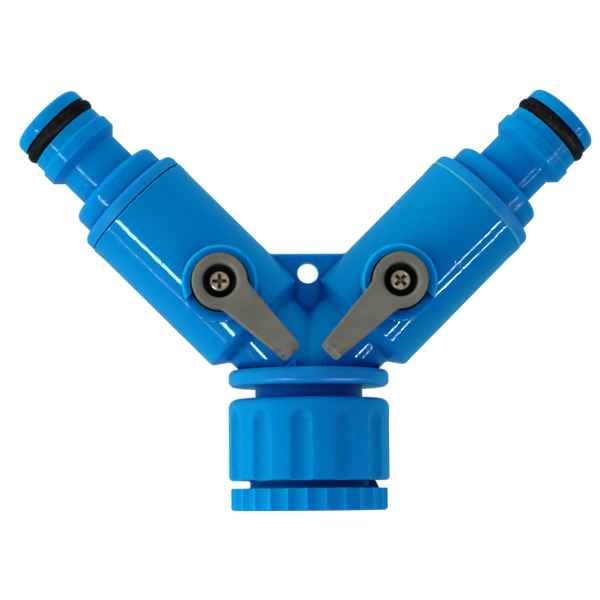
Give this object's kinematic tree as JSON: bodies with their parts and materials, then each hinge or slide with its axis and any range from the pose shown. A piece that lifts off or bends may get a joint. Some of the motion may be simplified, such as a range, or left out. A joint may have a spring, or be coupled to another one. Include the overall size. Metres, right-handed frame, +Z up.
{
  "type": "hose splitter",
  "caption": "Y-shaped hose splitter: a swivel nut with a thread adaptor feeds click-on outlet nipples, each shut by its own quarter-turn ball valve lever.",
  "frame": {"origin": "middle of the inlet's mouth, at the underside of the adaptor's ring", "axes": "+Z up the inlet's axis towards the fork, +X to the right-hand outlet, -Y towards the levers"},
  "size_m": [0.1162, 0.0361, 0.0852],
  "materials": {
    "blue_plastic": "glossy moulded",
    "grey_plastic": "satin moulded",
    "screw_steel": "bright plated",
    "black_rubber": "smooth",
    "seat_plastic": "smooth white",
    "ball_plastic": "polished white",
    "stem_plastic": "smooth black"
  },
  "bodies": {
    "y_body": {"y_body": "blue_plastic", "inlet_washer": "black_rubber", "left_outlet_nipple": "blue_plastic", "left_nipple_o_ring": "black_rubber", "left_joint_o_ring": "black_rubber", "left_inner_seat": "seat_plastic", "left_outer_seat": "seat_plastic", "right_outlet_nipple": "blue_plastic", "right_nipple_o_ring": "black_rubber", "right_joint_o_ring": "black_rubber", "right_inner_seat": "seat_plastic", "right_outer_seat": "seat_plastic"},
    "left_valve": {"left_lever": "grey_plastic", "left_lever_screw": "screw_steel", "left_stem": "stem_plastic", "left_stem_o_ring": "black_rubber", "left_ball": "ball_plastic"},
    "right_valve": {"right_lever": "grey_plastic", "right_lever_screw": "screw_steel", "right_stem": "stem_plastic", "right_stem_o_ring": "black_rubber", "right_ball": "ball_plastic"},
    "swivel_nut": {"swivel_nut": "blue_plastic"},
    "adaptor_washer": {"adaptor_washer": "black_rubber"},
    "thread_adaptor": {"thread_adaptor": "blue_plastic"}
  },
  "joints": [
    {"name": "left_lever_turn", "type": "hinge", "parent": "y_body", "child": "left_valve", "pos_m": [-0.01757, 0, 0.04459], "axis": [0, 1, 0], "range_deg": [0, 90]},
    {"name": "right_lever_turn", "type": "hinge", "parent": "y_body", "child": "right_valve", "pos_m": [0.01757, 0, 0.04459], "axis": [0, -1, 0], "range_deg": [0, 90]},
    {"name": "swivel_nut_spin", "type": "hinge", "parent": "y_body", "child": "swivel_nut", "pos_m": [0, 0, 0.0142], "axis": [0, 0, 1], "continuous": true},
    {"name": "adaptor_travel", "type": "slide", "parent": "swivel_nut", "child": "adaptor_washer", "axis": [0, 0, -1], "range_m": [0, 0.00908]},
    {"name": "adaptor_turn", "type": "hinge", "parent": "adaptor_washer", "child": "thread_adaptor", "pos_m": [0, 0, 0.01], "axis": [0, 0, -1], "range_deg": [0, 1800]}
  ],
  "couplings": [
    {"joint": "adaptor_travel", "follows": "adaptor_turn", "m_per_rad": 0.00028871}
  ]
}
